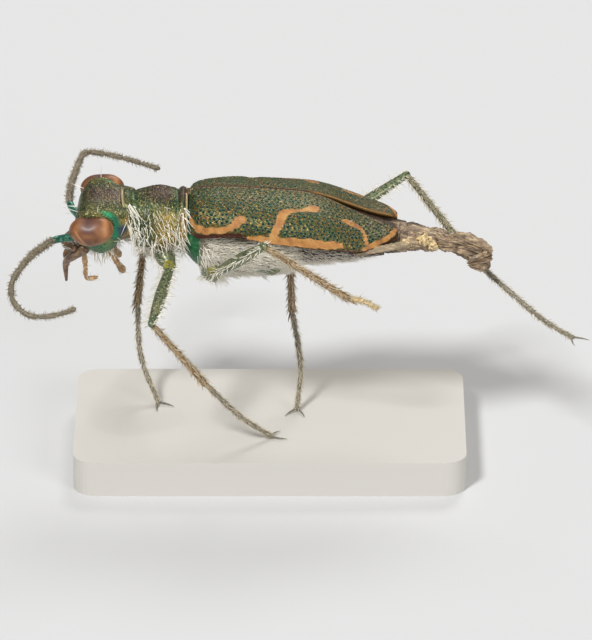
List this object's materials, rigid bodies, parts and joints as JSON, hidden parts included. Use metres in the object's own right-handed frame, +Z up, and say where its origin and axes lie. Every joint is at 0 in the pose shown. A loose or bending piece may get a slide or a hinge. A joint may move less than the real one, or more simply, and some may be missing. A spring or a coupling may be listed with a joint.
{
  "type": "tiger beetle model",
  "caption": "Still, life-size tiger beetle with green pitted wing cases and orange bands, long feelers and slender legs, standing on a small flat display base.",
  "frame": {"origin": "middle of the whole outline, on the underside of the display base", "axes": "+X from head to tail, +Y to the beetle's right, +Z up"},
  "size_m": [0.0124, 0.0074, 0.0063],
  "materials": {
    "wing_case": "pitted, metallic green with orange bands",
    "fore_body": "metallic copper and green, finely wrinkled",
    "head_shell": "metallic copper and green, finely ridged",
    "eye": "glossy copper brown",
    "mouth_part": "translucent brown horn",
    "feeler": "grey brown, finely haired",
    "thigh": "metallic green bronze with pale bristles",
    "shin": "copper brown with bristles",
    "foot": "grey brown with bristles",
    "hind_body": "green bronze under white hair",
    "belly": "dry, shrunken brown skin",
    "base": "pale, smooth matt"
  },
  "bodies": {
    "root": {"pronotum": "fore_body", "eye_left": "eye", "eye_right": "eye", "head": "head_shell", "labrum": "mouth_part", "mandible_left": "mouth_part", "mandible_right": "mouth_part", "palp_maxillary_left": "mouth_part", "palp_maxillary_right": "mouth_part", "palp_labial_left": "mouth_part", "palp_labial_right": "mouth_part", "antenna_left_scape": "feeler", "antenna_left_shaft": "feeler", "antenna_left_tip": "feeler", "antenna_right_scape": "feeler", "antenna_right_shaft": "feeler", "antenna_right_tip": "feeler", "elytron_left": "wing_case", "elytron_right": "wing_case", "thorax": "hind_body", "abdomen": "belly", "abdomen_tip": "belly", "leg_hind_left_coxa": "thigh", "leg_fore_left_coxa": "thigh", "leg_fore_left_femur": "thigh", "leg_fore_left_tibia": "shin", "leg_fore_left_tarsus": "foot", "leg_fore_right_coxa": "thigh", "leg_fore_right_femur": "thigh", "leg_fore_right_tibia": "shin", "leg_fore_right_tarsus": "foot", "leg_mid_left_coxa": "thigh", "leg_mid_left_femur": "thigh", "leg_mid_left_tibia": "shin", "leg_mid_left_tarsus": "foot", "leg_mid_right_coxa": "thigh", "leg_mid_right_femur": "thigh", "leg_mid_right_tibia": "shin", "leg_mid_right_tarsus": "foot", "leg_hind_right_coxa": "thigh", "leg_hind_right_femur": "thigh", "leg_hind_right_tibia": "shin", "leg_hind_right_tarsus": "foot", "stand_base": "base"}
  },
  "joints": []
}
